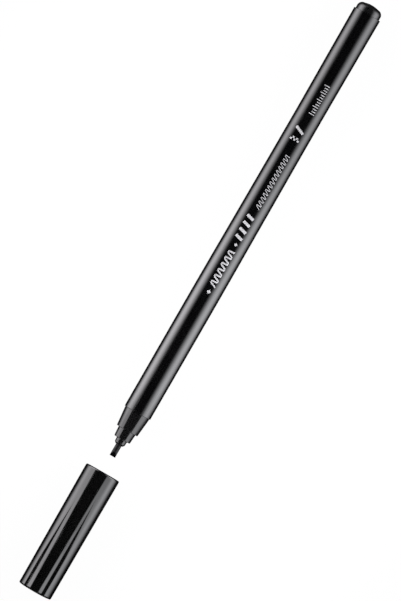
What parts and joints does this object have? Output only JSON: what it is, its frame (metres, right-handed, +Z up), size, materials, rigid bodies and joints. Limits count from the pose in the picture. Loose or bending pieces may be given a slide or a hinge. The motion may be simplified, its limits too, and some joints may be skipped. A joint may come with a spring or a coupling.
{
  "type": "calligraphy pen",
  "caption": "Slim black fibre-tip calligraphy pen with a stepped nose, a chisel nib and a domed tail, laid out with its pull-off cap in line with the nib.",
  "frame": {"origin": "on the pen's long axis, halfway between the cap's closed end and the tail, with the cap laid out off the nib", "axes": "+X along the pen towards the tail, so the nib points to -X; +Z up, square to the nib's chisel facets; +Y along the nib's writing edge"},
  "size_m": [0.203, 0.0114, 0.0114],
  "materials": {
    "gloss_black": "glossy moulded black",
    "satin_black": "satin moulded black",
    "cap_black": "high-gloss moulded black",
    "nib_fibre": "bonded fibre soaked with black ink",
    "inked_fibre": "fluffy fibre rod soaked with black ink",
    "clear_film": "thin translucent film",
    "liner_grey": "soft natural grey",
    "print_white": "opaque white printing ink"
  },
  "bodies": {
    "pen": {"barrel": "gloss_black", "rear_plug": "satin_black", "nose_cone": "satin_black", "nib_holder": "satin_black", "nib": "nib_fibre", "ink_reservoir": "inked_fibre", "reservoir_wrap": "clear_film"},
    "cap": {"cap_shell": "cap_black", "cap_liner": "liner_grey"}
  },
  "joints": [
    {"name": "cap_slide", "type": "slide", "parent": "pen", "child": "cap", "axis": [1, 0, 0], "range_m": [0, 0.0407]}
  ]
}
